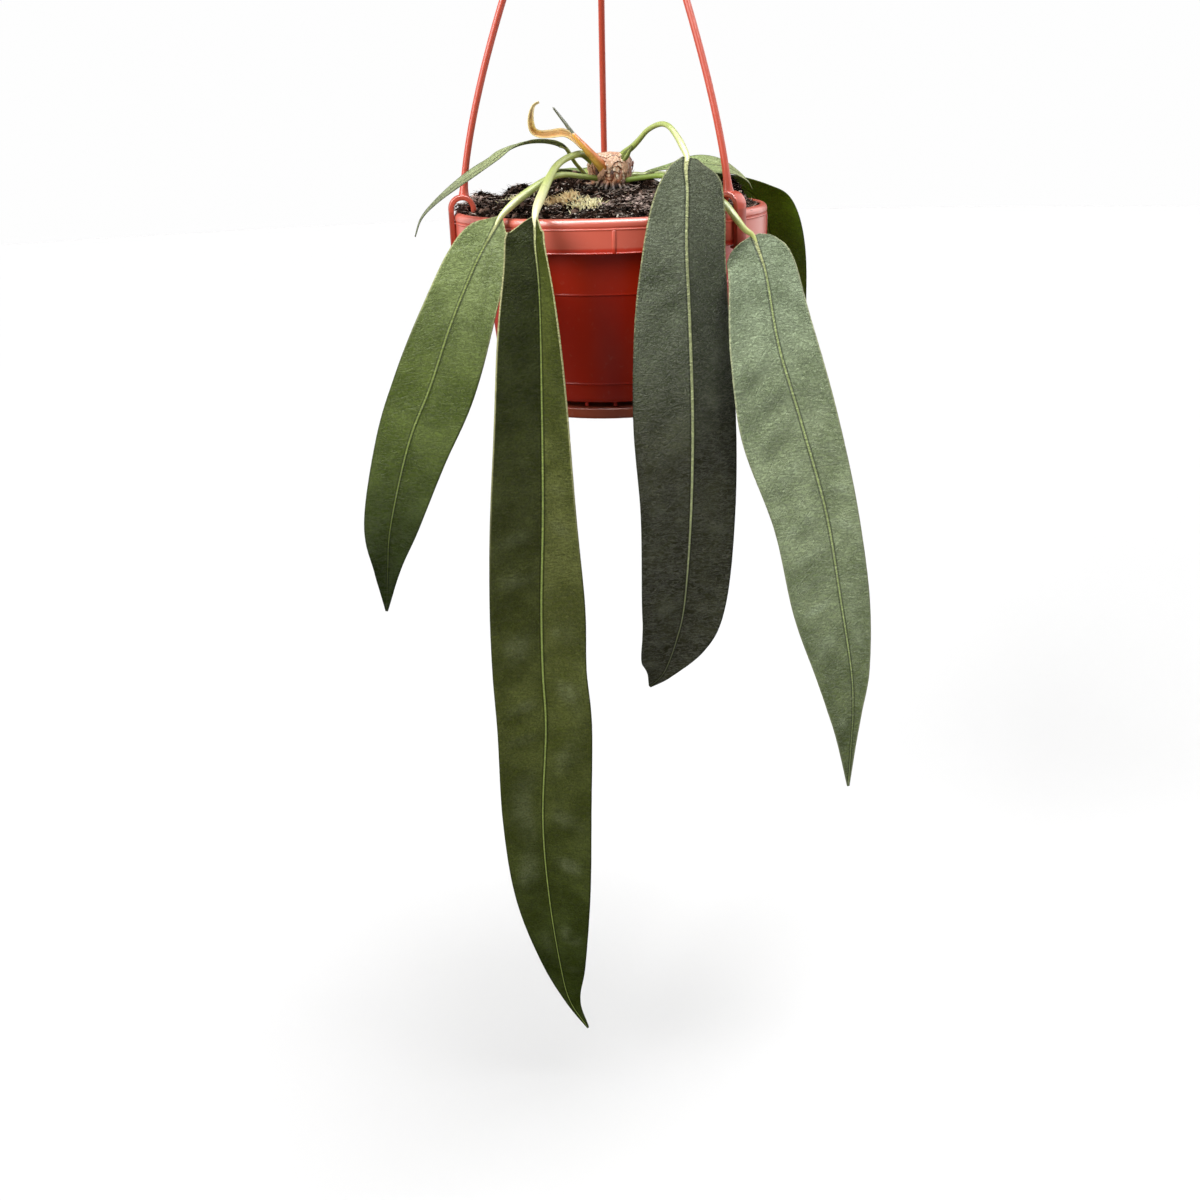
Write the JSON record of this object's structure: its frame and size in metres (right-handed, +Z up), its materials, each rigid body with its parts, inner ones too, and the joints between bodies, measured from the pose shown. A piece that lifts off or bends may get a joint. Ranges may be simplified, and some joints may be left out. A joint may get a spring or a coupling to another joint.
{
  "type": "potted plant",
  "caption": "Strap-leaved pendent aroid in a small plastic hanging pot with a clip-on arm hanger and a saucer.",
  "frame": {"origin": "highest point inside the hook's bend, the point that rests on a rail or nail", "axes": "+Z up along the pot's axis, -Y towards the side that the longest leaves hang over, +X to the right seen from there"},
  "size_m": [0.2363, 0.1918, 0.6376],
  "materials": {
    "pot_plastic": "satin",
    "saucer_plastic": "satin",
    "hanger_plastic": "satin",
    "compost": "matte",
    "rhizome_skin": "matte",
    "leaf_green": "satin",
    "leaf_pale": "satin",
    "sheath_live": "satin",
    "sheath_dry": "matte"
  },
  "bodies": {
    "root": {"pot": "pot_plastic", "saucer": "saucer_plastic", "hanger": "hanger_plastic", "soil": "compost", "rhizome": "rhizome_skin", "live_sheath": "sheath_live", "dried_sheath": "sheath_dry", "new_leaf": "leaf_green", "leaf_1": "leaf_green", "leaf_2": "leaf_green", "leaf_3": "leaf_green", "leaf_4": "leaf_green", "leaf_5": "leaf_pale", "leaf_6": "leaf_pale", "leaf_7": "leaf_pale", "leaf_8": "leaf_green"}
  },
  "joints": []
}
